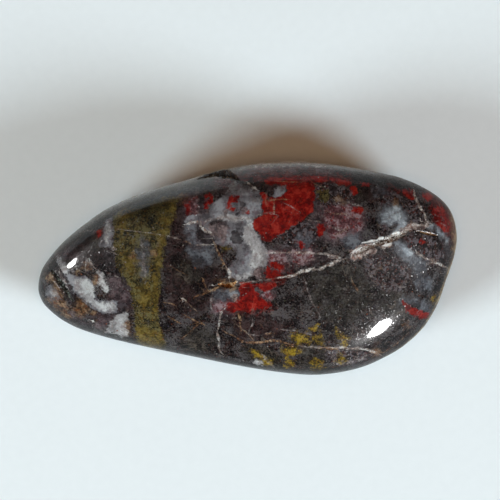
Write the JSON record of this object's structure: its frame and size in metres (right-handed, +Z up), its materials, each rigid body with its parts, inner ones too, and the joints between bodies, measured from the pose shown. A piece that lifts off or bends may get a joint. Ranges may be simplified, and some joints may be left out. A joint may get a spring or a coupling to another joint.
{
  "type": "tumbled pebble",
  "caption": "Polished tumbled pebble of ferruginous quartz: long flattened oval with one narrow tip, open cracks and a worn flat spot to rest on.",
  "frame": {"origin": "under the middle of the stone's box, on the worn flat spot it rests on", "axes": "+X from the narrow tip to the blunt end, +Y towards the more rounded long side, +Z up, away from the flat spot"},
  "size_m": [0.0312, 0.0158, 0.01],
  "materials": {
    "pebble": "polished, mottled dark brown with red, olive and milky grey patches"
  },
  "bodies": {
    "root": {"pebble": "pebble"}
  },
  "joints": []
}
